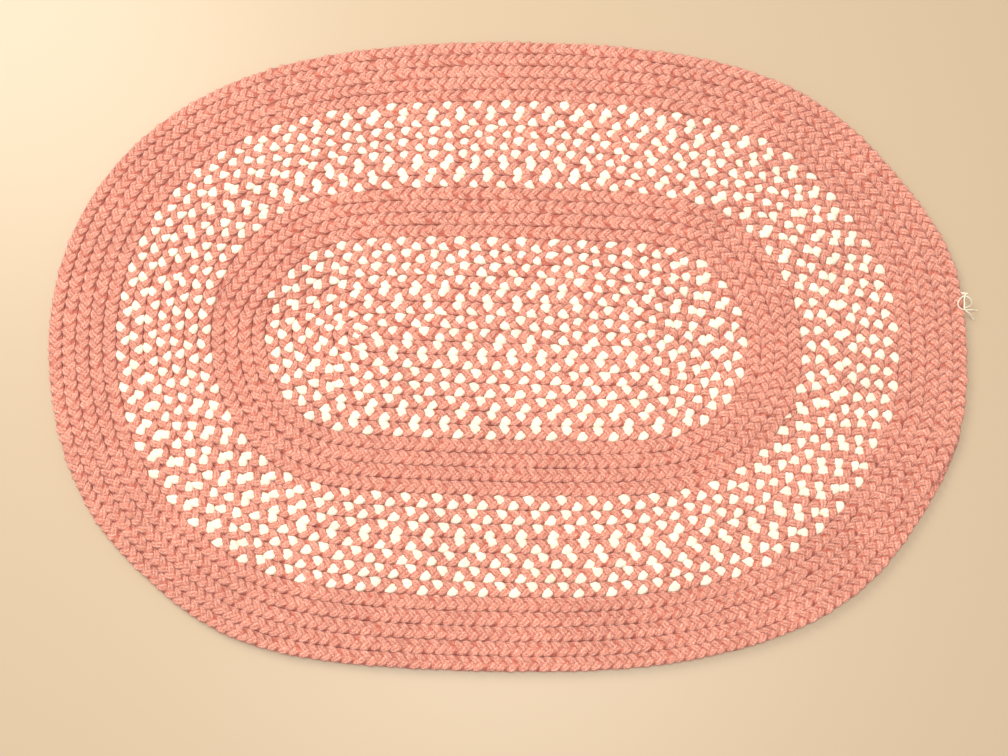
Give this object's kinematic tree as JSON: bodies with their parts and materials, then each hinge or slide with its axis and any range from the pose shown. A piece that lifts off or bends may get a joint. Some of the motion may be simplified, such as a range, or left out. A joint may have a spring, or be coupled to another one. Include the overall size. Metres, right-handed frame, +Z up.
{
  "type": "braided rug",
  "caption": "Oval floor rug coiled from three-strand yarn braid, in plain and ivory-flecked bands, with a short thread tied to its rim.",
  "frame": {"origin": "on the floor under the middle of the rug, the tie left out", "axes": "+X along the rug's length towards the end with the tied thread, +Y across it, +Z up from the floor"},
  "size_m": [0.9012, 0.6224, 0.0129],
  "materials": {
    "plain_braid": "matt heathered terracotta yarn",
    "flecked_braid": "matt terracotta yarn with one ivory strand in three",
    "tie_thread": "matt ivory thread"
  },
  "bodies": {
    "root": {"centre_braid": "flecked_braid", "inner_band_braid": "plain_braid", "flecked_band_braid": "flecked_braid", "outer_band_braid": "plain_braid", "tie_thread": "tie_thread", "tie_short_end": "tie_thread", "tie_knot": "tie_thread"}
  },
  "joints": []
}
